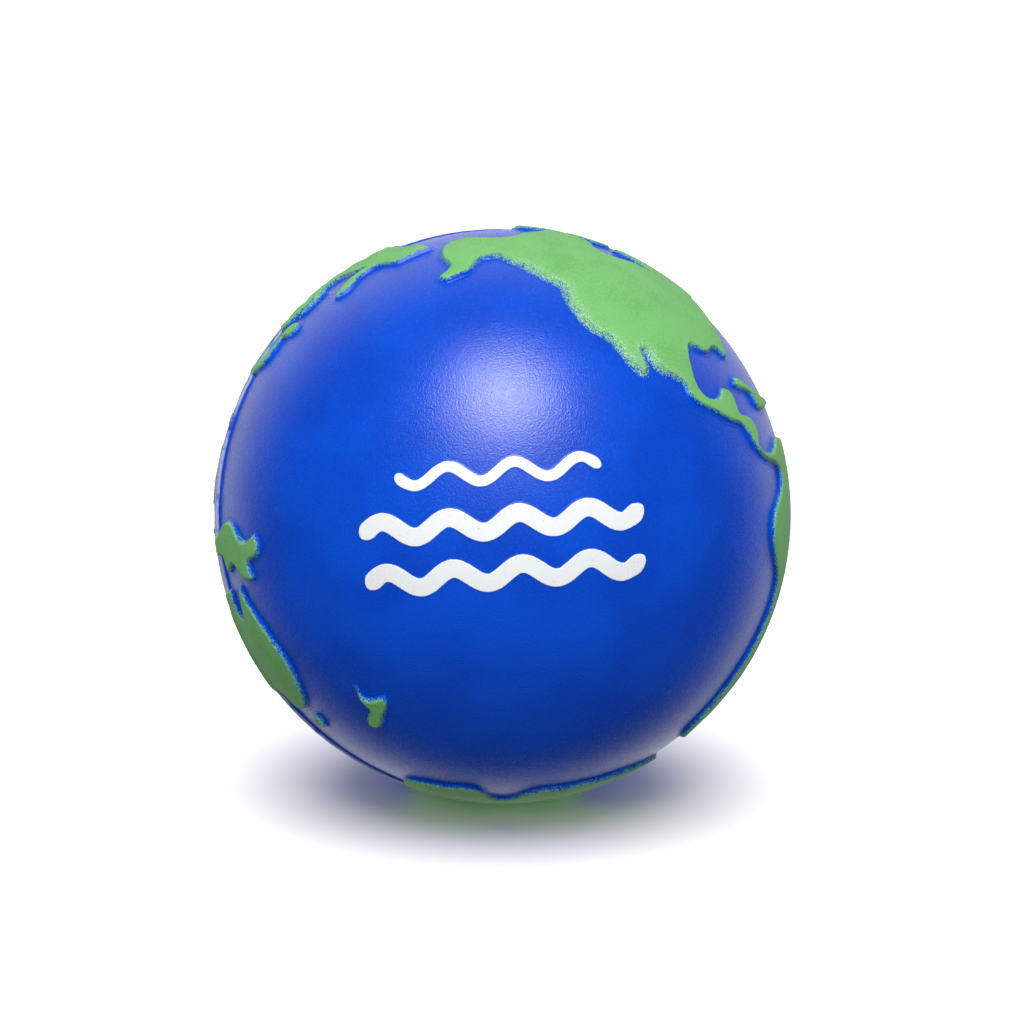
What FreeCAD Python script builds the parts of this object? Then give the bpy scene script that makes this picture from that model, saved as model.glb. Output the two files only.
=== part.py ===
"""Globe stress ball: a foam ball with a tough skin, raised land areas, a parting ridge and a
printed wave mark. Millimetres and degrees. The ball stands on the origin with +Z up, and the
printed side faces -Y."""
import FreeCAD, Part
import math
import os

Vector = FreeCAD.Vector
Vector2d = FreeCAD.Base.Vector2d

# The ball
ball_diameter = 70.0        # over the sea
skin_thickness = 1.2        # tough outer skin of the foam
land_height = 0.6           # step from sea to land
rest_flat_radius = 5.5      # where the ball's own weight flattens its underside

# How the map is turned on the ball
front_longitude = -148.0    # the map point that looks out to the front
front_latitude = -1.0
front_lift = 14.0           # the front point looks up by this much
map_roll = 4.3              # the equator rises to the right by this much

# The ridge that the two mould halves leave, a full circle through both poles
ridge_height = 0.25
ridge_width = 0.8
ridge_longitude = 133.0     # one half runs up this meridian, the other up its opposite
ridge_depth = 0.3           # how far the ring is drawn below the sea before it is trimmed

# The printed mark: three wave lines
ink_thickness = 0.08
print_longitude = -148.2
print_latitude = -2.6
print_row_pitch = 6.0
wave_height = 1.0           # crest above the line's middle
wave_steps = 8              # outline points in one wave
bold_length = 33.0
bold_waves = 4
bold_stroke = 2.2
fine_length = 24.0
fine_waves = 3
fine_stroke = 1.3

sea_radius = ball_diameter / 2
land_radius = sea_radius + land_height
core_radius = sea_radius - skin_thickness
ink_radius = sea_radius + ink_thickness
centre_height = math.sqrt(land_radius ** 2 - rest_flat_radius ** 2)
ball_centre = Vector(0, 0, centre_height)
sewing_gap = 1e-4

# Coasts as (east longitude, north latitude), simplified as the moulding simplifies them
coasts = {
    "land_americas": [
        (-167.5, 65.8), (-165.8, 62.8), (-163.5, 60.2), (-160.3, 57.8), (-161.3, 55.4),
        (-163, 53.5), (-160.5, 52.3), (-157.3, 53.2), (-154.8, 54.1), (-152.4, 55.6),
        (-150.9, 57.6), (-148.4, 59.6), (-145, 60.1), (-142, 60.2), (-138, 58), (-134, 56),
        (-130.5, 53), (-127, 50), (-124.5, 48), (-125, 45), (-124.5, 41.5), (-123.5, 38),
        (-121.5, 35.5), (-118.8, 33.5), (-117.3, 31), (-116, 28), (-113.3, 25), (-112.3, 27),
        (-111.8, 30.3), (-110.5, 30.2), (-109.8, 27.8), (-108, 25.3), (-105.2, 23.8),
        (-103.5, 22), (-103.5, 20.3), (-102, 18.3), (-98.5, 16.8), (-95, 15.3), (-92, 14.2),
        (-88.5, 13.2), (-86.5, 10.8), (-84.3, 8.2), (-80, 6.2), (-76.5, 5.7), (-73, 3.8),
        (-74, 0.8), (-77.3, -2), (-79.8, -5), (-80, -8.5), (-76.5, -13.5), (-71.5, -18),
        (-70.5, -25), (-72, -32), (-73.5, -38), (-74.5, -45), (-75, -51), (-70.5, -55),
        (-66, -55), (-68.5, -51),
        (-66.5, -47), (-65, -42), (-61, -39), (-57.5, -37), (-57.5, -34.5), (-53, -33),
        (-48.5, -27.5), (-46, -24), (-41, -22), (-39.5, -17), (-38.5, -13), (-35, -9),
        (-35.5, -5.5), (-40, -3), (-44, -2.5), (-49.5, 0.5), (-52, 5), (-58, 7.5),
        (-62, 10.5), (-66, 11.3), (-70.5, 11), (-73.5, 9.6), (-76.5, 8), (-80.5, 8),
        (-83.5, 9.5), (-82.8, 11.5), (-83.5, 14.3), (-86, 15.5), (-88.3, 16), (-88.5, 18.5),
        (-89.5, 20.8), (-92.3, 21), (-94, 19.5), (-96.6, 19), (-99, 20), (-100, 22.3),
        (-99.4, 25.4), (-98.2, 28.3), (-95.7, 31), (-93.2, 30.2), (-90.3, 29.2),
        (-86, 30.3), (-83.7, 29), (-82, 28), (-80.3, 30), (-77, 34), (-74.5, 38),
        (-72, 41), (-69, 44), (-65.5, 43.8), (-62, 46), (-64.5, 48.5), (-65, 50),
        (-60.5, 51), (-57, 53), (-61, 56), (-65, 59.5), (-70, 61.3), (-76, 61.5),
        (-77, 58), (-79, 54.5), (-81, 52), (-83, 54.8), (-88, 56.8), (-93, 58.8),
        (-93, 61.5), (-88, 64), (-85, 66.5), (-83, 69), (-86, 72), (-97, 73.8),
        (-108, 73), (-119, 72.3), (-127, 70.7), (-137, 69.5), (-147, 70.5), (-157, 71.3),
        (-165, 69.3)],
    "land_afro_eurasia": [
        (-175, 67), (-179, 65.5), (176.5, 63), (172, 61.2), (166, 61.3), (161.5, 60),
        (160.5, 56.5), (161, 53.2), (158.2, 50.5), (155.5, 54.5), (154.8, 58), (155.5, 61.3),
        (150, 59.5), (143, 59.3), (137, 57), (136.3, 54.5), (138.8, 53), (138.3, 48.5),
        (136, 44.5), (131.5, 43), (128, 40.5), (129.5, 37), (128.5, 35), (126.3, 35.2),
        (126, 38), (122, 39.8), (118.5, 39), (121.5, 37), (119.7, 35), (121.8, 31.5),
        (121, 28), (118, 24.5), (113.5, 22.3), (109, 21), (106.5, 19), (109, 14), (108, 11),
        (105.5, 9.5), (102.5, 12), (100.5, 12.7), (100.3, 9.5), (103, 5), (103.5, 1.8),
        (100.8, 4), (98.3, 9), (98, 14), (96, 16.5), (94, 19), (91, 22.3), (87.5, 21.5),
        (84, 19), (81, 16), (80.3, 12.5), (78, 8.3), (75.5, 12), (73, 17), (72.5, 20.5),
        (69.5, 21.5), (66.5, 25), (61, 25.5), (57, 27.3), (52.5, 28.3), (49.3, 29.8),
        (50.5, 26.3), (53, 24.4), (56, 25), (59.5, 22.5), (57, 18.8), (52, 16), (45.5, 13),
        (43, 14), (42, 17.5), (39, 21.5), (36.3, 26), (34.8, 28.6), (33.2, 28.2), (35.3, 24),
        (37, 20.5), (38.8, 16), (42, 11.7), (46.5, 11), (51, 11.8), (50.3, 8.5), (47, 4),
        (43.5, 0), (40, -4), (39.5, -8), (40.5, -13), (38, -17.5), (35, -20.5), (35.5, -24),
        (32.5, -28), (28.5, -32.5), (23, -34), (18.8, -34), (17, -29.5), (14.5, -23),
        (12, -17), (13.7, -11), (12, -5.5), (9.3, -1), (9.3, 3.3), (6, 4.5), (1.5, 6),
        (-4, 5.2), (-8, 4.8), (-13, 8.5), (-16.5, 12.5), (-17, 16), (-16.5, 21), (-13.5, 27),
        (-10, 30), (-8.5, 33), (-5.5, 35), (-2, 34.8), (4, 36.5), (10, 37), (10.8, 34.5),
        (15, 32), (19.5, 30.8), (21, 32.6), (25, 31.5), (30, 31.2), (33.5, 31.2), (35, 33),
        (36, 36), (32, 36.3), (28, 37), (26.8, 39.5), (25, 40.5), (23.3, 39.5), (22.5, 37),
        (20.8, 38.8), (19, 42), (15, 44.8), (13.3, 44.5), (15, 42.5), (18, 40.3),
        (16.3, 38.2), (13.5, 41), (9.8, 43.5), (6, 43.3), (3, 42.3), (0, 40),
        (-0.5, 38), (-2.5, 36.9), (-6, 36.9), (-9, 37.5), (-9.3, 40), (-8.5, 43.3),
        (-2.5, 43.8), (-1.5, 46), (-4.2, 48), (-1, 48.9), (2.5, 50), (5, 52.3), (8.5, 53.8),
        (8.3, 57), (10.3, 57), (11, 54.8), (15, 54.3), (19.5, 54.8), (21.5, 57.5),
        (23.5, 60), (21.5, 61.5), (22.5, 63.5), (24.5, 65.5), (20.5, 65), (17.5, 62),
        (17.5, 59.3), (16, 56.5), (13.3, 55.8), (11.3, 58.8), (7.5, 58.3), (5.5, 61),
        (9, 64), (14, 68), (22, 70.5), (31, 70.3), (40, 67.7), (36, 66.3), (39, 64.8),
        (44, 66.8), (54, 68.8), (61, 69), (67, 69.3), (68, 72.2), (73, 72.5), (74.5, 69.5),
        (80, 72.5), (88, 75), (98, 76.3), (105, 77.2), (113, 74.3), (124, 73.3), (130, 71.3),
        (140, 72.3), (152, 71), (161, 69.8), (170, 70), (179, 69.3)],
    "land_greenland": [
        (-71, 77.7), (-66, 80), (-55, 82), (-35, 83.5), (-20, 82), (-20, 76), (-22, 71),
        (-32, 68.3), (-40, 65), (-43.5, 60), (-48, 61), (-53, 66), (-52, 70), (-58, 75),
        (-67, 76.2)],
    "land_ellesmere": [
        (-90, 76.5), (-95, 80), (-90, 82), (-75, 83), (-70, 82), (-78, 79.3), (-81, 76.8)],
    "land_baffin": [
        (-80, 73.6), (-72, 71), (-62, 66.5), (-65, 63.3), (-72, 64.7), (-76, 66.5), (-76, 69),
        (-79, 71)],
    "land_newfoundland": [(-58.5, 47.7), (-56, 50.2), (-53, 48.5), (-54.5, 46.8)],
    "land_cuba": [
        (-85.5, 22.5), (-83, 23.6), (-79.5, 22.3), (-75.5, 21), (-72.5, 20), (-68.5, 19.3),
        (-67.5, 18), (-72, 17), (-75.5, 16.6), (-78, 17.8), (-78.7, 19.6), (-82, 20.8)],
    "land_iceland": [
        (-24, 65.5), (-21, 66.5), (-15, 66.3), (-14, 64.8), (-19, 63.3), (-22.5, 64)],
    "land_great_britain": [
        (-5.2, 50.2), (0.3, 51.1), (1, 53), (-1.8, 55.5), (-2, 57.5), (-5, 58.7), (-6, 56.3),
        (-3.5, 54.3), (-4.5, 52.3)],
    "land_ireland": [(-10.5, 52), (-7.6, 52.1), (-7.4, 54.3), (-8.8, 55.3), (-10.8, 54)],
    "land_svalbard": [(11, 79), (16, 80), (27, 80), (24, 78.5), (17, 76.7), (14, 77.8)],
    "land_novaya_zemlya": [
        (52, 71.2), (57, 71), (61, 73.5), (68, 76.3), (65, 77), (56, 74.5)],
    "land_madagascar": [
        (49.3, -12.3), (50.3, -15.8), (47, -24.8), (44.5, -25.3), (43.5, -22),
        (44.5, -16.5), (47.5, -15)],
    "land_sri_lanka": [(81.5, 9), (82.9, 7), (81.8, 5.6), (80.6, 7)],
    "land_sumatra": [
        (95.5, 5.5), (98, 4.2), (101, 1.8), (104.3, -1.5), (106, -3.5), (105.3, -5.5),
        (102.5, -4), (99.5, -0.5), (97, 2.5)],
    "land_java": [
        (105.7, -7), (109, -6.7), (112.5, -6.9), (115.5, -8), (114, -9), (109.5, -8.4),
        (106.3, -8)],
    "land_borneo": [
        (109, 1.5), (111.5, 2), (114, 4.8), (117, 7), (119, 5), (117.8, 1), (116, -3.8),
        (111, -3.3), (109.2, -0.5)],
    "land_sulawesi": [
        (119.3, 0.6), (121.5, 1.4), (125, 1.7), (124.6, 0.4), (121.5, -0.3), (123.4, -1.2),
        (122.2, -2.5), (122.8, -4.8), (121.2, -3.9), (120, -5.6), (118.9, -3)],
    "land_philippines": [
        (120, 16), (120.8, 18.7), (122.5, 18.2), (122, 15), (124.5, 12.5), (126.5, 8),
        (125.3, 5.8), (122.5, 7), (123, 10), (120.8, 13.5)],
    "land_taiwan": [(119.9, 23.3), (121.2, 25.4), (122.3, 24.9), (121.3, 22)],
    "land_japan": [
        (148.3, 44.1), (148.6, 42.3), (146, 41), (143, 41), (142.3, 38.5), (141, 35.5),
        (137.5, 33.8), (133, 32.8), (130.5, 31.3), (129.7, 33), (132, 35), (136.5, 36.7),
        (139.3, 38.7), (140.2, 41.3), (141.2, 43.5), (144, 44.8)],
    "land_sakhalin": [
        (142, 46.5), (144.2, 48.8), (144.1, 52.3), (142.8, 54.3), (141.7, 51.5), (142.2, 49)],
    "land_new_guinea": [
        (131, 0.5), (135, 0.3), (139, 2), (145, 1.5), (148.3, -1.6), (152, -1.8),
        (154.5, -1), (155.7, -3), (154.3, -5.2), (151.3, -6), (150.8, -7.5), (151.7, -9.3),
        (147.5, -9.2), (142.5, -6.3), (139, -7.8), (137, -5), (132.5, -3.5)],
    "land_australia": [
        (144, -11), (146, -14.5), (149.5, -19.5), (152, -24.5), (152.8, -28.5),
        (151, -33.5), (148, -37.3), (144, -38.5), (140, -37.5), (138, -34.5), (134, -33.3),
        (131, -31.5), (125, -32.8), (119.5, -34.2), (115.5, -33.5), (115, -29),
        (113.8, -24.5), (116, -21), (121, -19), (123.5, -16.5), (128, -14.8), (131.5, -12),
        (136.5, -11.5), (136.7, -15), (139.8, -17), (141.7, -14.5)],
    "land_tasmania": [(144.7, -41), (148.3, -41), (147.7, -43.5), (145.7, -43.3)],
    "land_new_zealand": [
        (172, -34.3), (174.5, -37), (178.5, -36.7), (178.3, -38.6), (174.8, -41.7),
        (170.5, -44.5), (168.3, -43), (172, -39.8), (171, -36.3)],
    "land_antarctica": [
        (-56, -62), (-62, -61.7), (-69, -63.3), (-76, -65), (-84, -67), (-93, -69.5),
        (-105, -71.5), (-116, -73), (-130, -73.8), (-142, -75), (-155, -78.5), (-172, -80),
        (-177, -76), (-176, -70.5), (178, -68.5), (170, -67.3), (160, -64.5), (150, -63),
        (137, -65), (115, -66.5), (100, -65.5), (88, -66.8), (76, -68.5), (66, -65),
        (50, -62.7), (35, -62), (20, -62.8), (8, -65), (0, -69), (-12, -72),
        (-25, -75.5), (-38, -78.5), (-52, -77.5), (-60, -74), (-62, -69), (-56, -65)],
}

# Inland seas, left out of the land round them
inland_seas = {
    "land_afro_eurasia": [
        [(50, 46.7), (53, 45.2), (51.7, 42), (54, 40), (52.7, 36.8), (49.5, 37.8),
         (49.3, 41), (47.5, 44)],
        [(28.8, 44.3), (31.5, 46.2), (34.5, 45.5), (38, 46.5), (41, 42.7), (36, 42.4),
         (31, 41.9), (28.5, 42.5)],
    ],
}


def globe_turn():
    """The rotation that takes the map from pole-up to the way it sits on the ball."""
    spin = FreeCAD.Rotation(Vector(0, 0, 1), -90 - front_longitude)
    level = FreeCAD.Rotation(Vector(1, 0, 0), front_latitude)
    roll = FreeCAD.Rotation(Vector(0, 1, 0), -map_roll)
    lift = FreeCAD.Rotation(Vector(1, 0, 0), -front_lift)
    return lift.multiply(roll).multiply(level).multiply(spin)


turn = globe_turn()


def map_direction(longitude, latitude):
    """Unit vector from the ball's centre through a point of the map."""
    east = math.radians(longitude)
    north = math.radians(latitude)
    out = Vector(math.cos(north) * math.cos(east), math.cos(north) * math.sin(east), math.sin(north))
    return turn.multVec(out)


def local_frame(middle):
    """Out, right and up directions at a point of the ball, with up towards the map's north."""
    north_pole = map_direction(0, 90)
    reference = north_pole
    if abs(middle.dot(north_pole)) > 0.9:
        reference = map_direction(0, 0)
    up = reference - middle * middle.dot(reference)
    up.normalize()
    return middle, up.cross(middle), up


def coast_frame(coast):
    total = Vector(0, 0, 0)
    for longitude, latitude in coast:
        total = total + map_direction(longitude, latitude)
    total.normalize()
    return local_frame(total)


def coast_angles(coast, frame):
    """The coast's points as angles right and up on the sphere that local_sphere makes."""
    middle, right, up = frame
    angles = []
    for longitude, latitude in coast:
        out = map_direction(longitude, latitude)
        across = math.atan2(out.dot(right), out.dot(middle))
        angles.append(Vector2d(math.pi + across, math.asin(out.dot(up))))
    return angles


def local_sphere(radius, frame):
    """A sphere surface whose poles and seam lie away from the frame's middle."""
    middle, right, up = frame
    sphere = Part.Sphere()
    sphere.Radius = radius
    matrix = FreeCAD.Matrix(-middle.x, -right.x, up.x, 0, -middle.y, -right.y, up.y, 0,
                            -middle.z, -right.z, up.z, centre_height, 0, 0, 0, 1)
    sphere.transform(matrix)
    return sphere


def closed_curve(points):
    """A smooth closed curve through the points, cut into one span from each to the next."""
    parameters = [0.0]
    for start, end in zip(points, points[1:] + points[:1]):
        step = math.hypot(end.x - start.x, end.y - start.y)
        parameters.append(parameters[-1] + math.sqrt(step))
    curve = Part.Geom2d.BSplineCurve2d()
    curve.interpolate(Points=points, PeriodicFlag=True, Parameters=parameters)
    spans = []
    for start, end in zip(parameters, parameters[1:]):
        span = curve.copy()
        span.segment(start, end)
        spans.append(span)
    return spans


def raised_area(angles, frame, inner_radius, outer_radius):
    """A plate that follows the ball, from one radius to another, inside a closed outline."""
    spans = closed_curve(angles)
    faces = []
    wires = []
    for radius in (inner_radius, outer_radius):
        sphere = local_sphere(radius, frame)
        wire = Part.Wire([span.toShape(sphere) for span in spans])
        wires.append(wire)
        faces.append(Part.Face(sphere, wire))
    for inner_edge, outer_edge in zip(wires[0].Edges, wires[1].Edges):
        faces.append(Part.makeRuledSurface(inner_edge, outer_edge))
    skin = Part.Compound(faces)
    skin.sewShape(sewing_gap)
    plate = Part.Solid(skin.Shells[0])
    if plate.Volume < 0:
        plate.reverse()
    return plate


def above_floor(shape):
    """Leaves off what would reach below the surface that the ball stands on."""
    size = 2 * ball_diameter
    below = Part.makeBox(size, size, size, Vector(-size / 2, -size / 2, -size))
    return shape.cut(below)


def make_foam_core():
    return Part.makeSphere(core_radius, ball_centre)


def make_ocean_skin():
    outside = Part.makeSphere(sea_radius, ball_centre)
    return above_floor(outside.cut(Part.makeSphere(core_radius, ball_centre)))


def make_land(name):
    coast = coasts[name]
    frame = coast_frame(coast)
    land = raised_area(coast_angles(coast, frame), frame, sea_radius, land_radius)
    for shore in inland_seas.get(name, []):
        hole_frame = coast_frame(shore)
        hole = raised_area(coast_angles(shore, hole_frame), hole_frame,
                           sea_radius - land_height, land_radius + land_height)
        land = land.cut(hole)
    if land.BoundBox.ZMin < 0:
        land = above_floor(land)
    return land


def make_parting_ridge(lands):
    """The raised line of the mould joint, over the sea only, in stretches between the lands."""
    axis = map_direction(ridge_longitude + 90, 0)
    outward = map_direction(0, 90)
    foot = sea_radius - ridge_depth
    left = ball_centre + outward * foot - axis * (ridge_width / 2)
    right = ball_centre + outward * foot + axis * (ridge_width / 2)
    top = ball_centre + outward * (sea_radius + ridge_height)
    crown = Part.Arc(left, top, right).toShape()
    profile = Part.Face(Part.Wire([crown, Part.makeLine(right, left)]))
    ridge = profile.revolve(ball_centre, axis, 360)
    ridge = ridge.cut(Part.makeSphere(sea_radius, ball_centre))
    for land in lands:
        if ridge.BoundBox.intersect(land.BoundBox):
            ridge = ridge.cut(land)
    return ridge


def wave_outline(length, waves, stroke, row):
    """One printed wave line: points right and up in millimetres, once round the stroke."""
    wavelength = length / waves
    half = stroke / 2
    turn_rate = 2 * math.pi / wavelength
    upper = []
    lower = []
    for step in range(waves * wave_steps + 1):
        along = -length / 2 + step * wavelength / wave_steps
        height = row + wave_height * math.sin(turn_rate * along)
        slope = math.atan(wave_height * turn_rate * math.cos(turn_rate * along))
        upper.append((along - half * math.sin(slope), height + half * math.cos(slope)))
        lower.append((along + half * math.sin(slope), height - half * math.cos(slope)))
    ends = []
    for side in (1, -1):
        along = side * length / 2
        height = row + wave_height * math.sin(turn_rate * along)
        slope = math.atan(wave_height * turn_rate * math.cos(turn_rate * along))
        ends.append((along + side * half * math.cos(slope), height + side * half * math.sin(slope)))
    return upper + [ends[0]] + lower[::-1] + [ends[1]]


def make_print_line(length, waves, stroke, row):
    frame = local_frame(map_direction(print_longitude, print_latitude))
    angles = []
    for right, up in wave_outline(length, waves, stroke, row):
        angles.append(Vector2d(math.pi + right / sea_radius, up / sea_radius))
    return raised_area(angles, frame, sea_radius, ink_radius)


def write(name, shape):
    if not shape.isValid() or not shape.Solids:
        raise ValueError(name + " is not a valid solid")
    shape.exportStep("parts/" + name + ".step")
    print(name, len(shape.Solids), "solid(s)", round(shape.Volume, 3), "mm3")


os.makedirs("parts", exist_ok=True)
lands = {}
for land_name in coasts:
    lands[land_name] = make_land(land_name)
    write(land_name, lands[land_name])
write("foam_core", make_foam_core())
write("ocean_skin", make_ocean_skin())
write("parting_ridge", make_parting_ridge(lands.values()))
write("print_wave_top", make_print_line(fine_length, fine_waves, fine_stroke, print_row_pitch))
write("print_wave_middle", make_print_line(bold_length, bold_waves, bold_stroke, 0))
write("print_wave_bottom", make_print_line(bold_length, bold_waves, bold_stroke, -print_row_pitch))
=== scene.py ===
# %% [markdown]
# # A foam globe to squeeze
# The object is a moulded foam ball with raised, spray-painted land, a parting
# ridge where the two halves of the mould met, and a small white print. The CAD
# model is the fixed frame: it gives every place and size. This file gives the
# ball its looks: rounded shores, sprayed paint edges, leather grain and ink.

# %% Load the frame
import math

import bmesh
import bpy
import numpy as np
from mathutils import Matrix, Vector
from mathutils.bvhtree import BVHTree
from mathutils.kdtree import KDTree


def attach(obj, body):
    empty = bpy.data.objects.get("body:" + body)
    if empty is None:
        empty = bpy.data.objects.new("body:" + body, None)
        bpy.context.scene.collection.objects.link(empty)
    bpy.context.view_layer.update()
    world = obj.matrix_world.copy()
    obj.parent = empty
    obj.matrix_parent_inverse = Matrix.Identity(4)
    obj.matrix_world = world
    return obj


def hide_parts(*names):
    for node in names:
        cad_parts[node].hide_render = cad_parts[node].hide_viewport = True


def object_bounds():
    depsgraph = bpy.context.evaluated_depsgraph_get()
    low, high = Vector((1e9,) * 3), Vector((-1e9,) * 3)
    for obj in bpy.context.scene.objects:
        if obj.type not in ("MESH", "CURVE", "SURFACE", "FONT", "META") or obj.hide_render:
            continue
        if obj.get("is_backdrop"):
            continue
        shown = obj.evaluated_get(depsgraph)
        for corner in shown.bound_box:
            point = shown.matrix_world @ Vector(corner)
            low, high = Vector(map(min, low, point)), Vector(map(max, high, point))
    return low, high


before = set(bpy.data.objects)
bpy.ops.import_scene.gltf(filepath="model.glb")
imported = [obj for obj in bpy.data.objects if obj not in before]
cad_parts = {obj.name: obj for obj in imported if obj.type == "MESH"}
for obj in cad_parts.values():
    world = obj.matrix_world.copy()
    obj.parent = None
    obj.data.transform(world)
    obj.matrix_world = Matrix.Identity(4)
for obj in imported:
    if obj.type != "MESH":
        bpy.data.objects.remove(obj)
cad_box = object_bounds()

MM = 0.001
print("CAD nodes:", len(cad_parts))

# %% [markdown]
# ## Sizes that everything shares
# The sea is a sphere and the land a slightly larger one, about one centre. Both
# radii could be typed in, but reading them from the frame means that this file
# follows the model when a size changes.

# %% Read the ball's sizes
def node_points(name):
    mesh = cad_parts[name].data
    points = np.empty(len(mesh.vertices) * 3)
    mesh.vertices.foreach_get("co", points)
    return points.reshape(-1, 3)


def sphere_through(points):
    """The centre and radius of the sphere that fits the points best."""
    known = np.hstack([2 * points, np.ones((len(points), 1))])
    found = np.linalg.lstsq(known, (points ** 2).sum(axis=1), rcond=None)[0]
    return Vector(found[:3]), math.sqrt(found[3] + found[:3] @ found[:3])


def node_radius(name):
    return float(np.linalg.norm(node_points(name) - CENTRE, axis=1).max())


CENTRE, CORE_RADIUS = sphere_through(node_points("foam_core"))
SEA_RADIUS = node_radius("ocean_skin")
LAND_HEIGHT = node_radius("land_americas") - SEA_RADIUS
INK_HEIGHT = node_radius("print_wave_top") - SEA_RADIUS
RIDGE_HEIGHT = node_radius("parting_ridge") - SEA_RADIUS
FLOOR_Z = 0.0
LANDS = sorted(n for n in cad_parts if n.startswith("land_"))
PRINTS = sorted(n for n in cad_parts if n.startswith("print_"))
for label, size in (("sea radius", SEA_RADIUS), ("land height", LAND_HEIGHT),
                    ("ink height", INK_HEIGHT), ("ridge height", RIDGE_HEIGHT),
                    ("centre height", CENTRE.z), ("core radius", CORE_RADIUS)):
    print(f"{label}: {size / MM:.3f} mm")

# %% [markdown]
# ## Camera
# The camera stands well back and a little above the ball, with a long lens, so
# the ball keeps a nearly round outline. A shift could recentre the picture, but
# it is only as large as the framing needs.

# %% Place the camera
def rising(degrees, turn=0.0):
    """A direction in front of the ball, so many degrees above the floor."""
    rise, turn = math.radians(degrees), math.radians(turn)
    return (math.sin(turn) * math.cos(rise), -math.cos(turn) * math.cos(rise),
            math.sin(rise))


CAMERA_RISE, LENS = 14, 182.6
CAMERA_DISTANCE = 18 * (SEA_RADIUS + LAND_HEIGHT)
camera_data = bpy.data.cameras.new("camera")
camera = bpy.data.objects.new("camera", camera_data)
bpy.context.scene.collection.objects.link(camera)
camera_back = Vector(rising(CAMERA_RISE))
camera.location = CENTRE + camera_back * CAMERA_DISTANCE
camera.rotation_euler = camera_back.to_track_quat("Z", "Y").to_euler()
camera_data.sensor_width, camera_data.lens = 36, LENS
camera_data.shift_x, camera_data.shift_y = 0.0098, 0.002
camera_data.clip_start, camera_data.clip_end = 0.01, 20
bpy.context.scene.camera = camera
print(f"camera {CAMERA_DISTANCE:.3f} m from the ball's centre")

# %% [markdown]
# ## Node sums in plain Python
# Shader and geometry trees are full of small sums. They could be wired by hand,
# one Math node at a time. Wrapping a socket in a class whose operators add the
# nodes lets the sums read as sums, which is easier to check and to change.

# %% Wrap sockets so that sums add nodes
class Sum:
    """A number socket in a node tree: arithmetic on it adds Math nodes."""

    def __init__(self, tree, socket):
        self.tree, self.socket = tree, socket

    def _math(self, operation, *values, clamp=False):
        node = self.tree.node("ShaderNodeMath", operation=operation, use_clamp=clamp)
        for slot, value in zip(node.inputs, values):
            self.tree.feed(slot, value)
        return Sum(self.tree, node.outputs[0])

    def __add__(self, other): return self._math("ADD", self, other)
    def __radd__(self, other): return self._math("ADD", other, self)
    def __sub__(self, other): return self._math("SUBTRACT", self, other)
    def __rsub__(self, other): return self._math("SUBTRACT", other, self)
    def __mul__(self, other): return self._math("MULTIPLY", self, other)
    def __rmul__(self, other): return self._math("MULTIPLY", other, self)
    def __truediv__(self, other): return self._math("DIVIDE", self, other)
    def __rtruediv__(self, other): return self._math("DIVIDE", other, self)
    def __pow__(self, other): return self._math("POWER", self, other)
    def most(self, other): return self._math("MAXIMUM", self, other)
    def clamped(self): return self._math("ADD", self, 0.0, clamp=True)
    def sine(self): return self._math("SINE", self)
    def cosine(self): return self._math("COSINE", self)
    def above(self, other): return self._math("GREATER_THAN", self, other)

    def step(self, low, high):
        """A smooth rise from 0 at low to 1 at high."""
        part = ((self - low) / (high - low)).clamped()
        return part * part * (3 - 2 * part)


class Tree:
    """A node tree with one way to add a node and one way to fill a socket."""

    def __init__(self, tree):
        self.tree = tree

    def node(self, kind, sockets=None, **settings):
        node = self.tree.nodes.new(kind)
        for name, value in settings.items():
            setattr(node, name, value)
        for name, value in (sockets or {}).items():
            self.feed(node.inputs[name], value)
        return node

    def feed(self, slot, value):
        if isinstance(value, Sum):
            value = value.socket
        if isinstance(value, bpy.types.NodeSocket):
            self.tree.links.new(value, slot)
        else:
            slot.default_value = value

    def number(self, socket):
        return Sum(self, socket)

    def mix(self, factor, first, second):
        """A colour between first and second."""
        node = self.node("ShaderNodeMix", data_type="RGBA", blend_type="MIX")
        for index, value in ((0, factor), (6, first), (7, second)):
            self.feed(node.inputs[index], value)
        return node.outputs[2]

    def vector_math(self, operation, *values):
        node = self.node("ShaderNodeVectorMath", operation=operation)
        for slot, value in zip(node.inputs, values):
            self.feed(slot, value)
        return node


print("node helpers ready")

# %% [markdown]
# ## Where the shores run
# Each land is one CAD solid with a straight cliff. A merged copy of its mesh
# gives the line where the top meets the cliff, and that line is the shore. It
# could be drawn again by hand, but then a change to the model would be missed.

# %% Read each shore from a merged copy
def merged_copy(name):
    mesh = bmesh.new()
    mesh.from_mesh(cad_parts[name].data)
    bmesh.ops.remove_doubles(mesh, verts=mesh.verts, dist=0.001 * MM)
    mesh.normal_update()
    return mesh


def steepness(face):
    """1 for a face of the top or underside, 0 for a face of the cliff."""
    out = (face.calc_center_median() - CENTRE).normalized()
    return abs(face.normal.dot(out))


def shore_lines(mesh, top_radius):
    """Pairs of points along the edge between the top and the cliff."""
    middle = (top_radius + SEA_RADIUS) / 2
    lines = []
    for edge in mesh.edges:
        if len(edge.link_faces) != 2:
            continue
        a, b = (v.co - CENTRE for v in edge.verts)
        steep = sorted(steepness(f) for f in edge.link_faces)
        if steep[0] < 0.5 < steep[1] and min(a.length, b.length) > middle:
            lines.append((a.normalized(), b.normalized()))
    return lines


raised = {}
for name in LANDS + PRINTS:
    mesh = merged_copy(name)
    lines = shore_lines(mesh, node_radius(name))
    raised[name] = (mesh, lines)
shore_length = sum((a - b).length for _, lines in raised.values() for a, b in lines)
print(f"{len(raised)} raised areas, {shore_length * SEA_RADIUS:.2f} m of edge")

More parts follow.
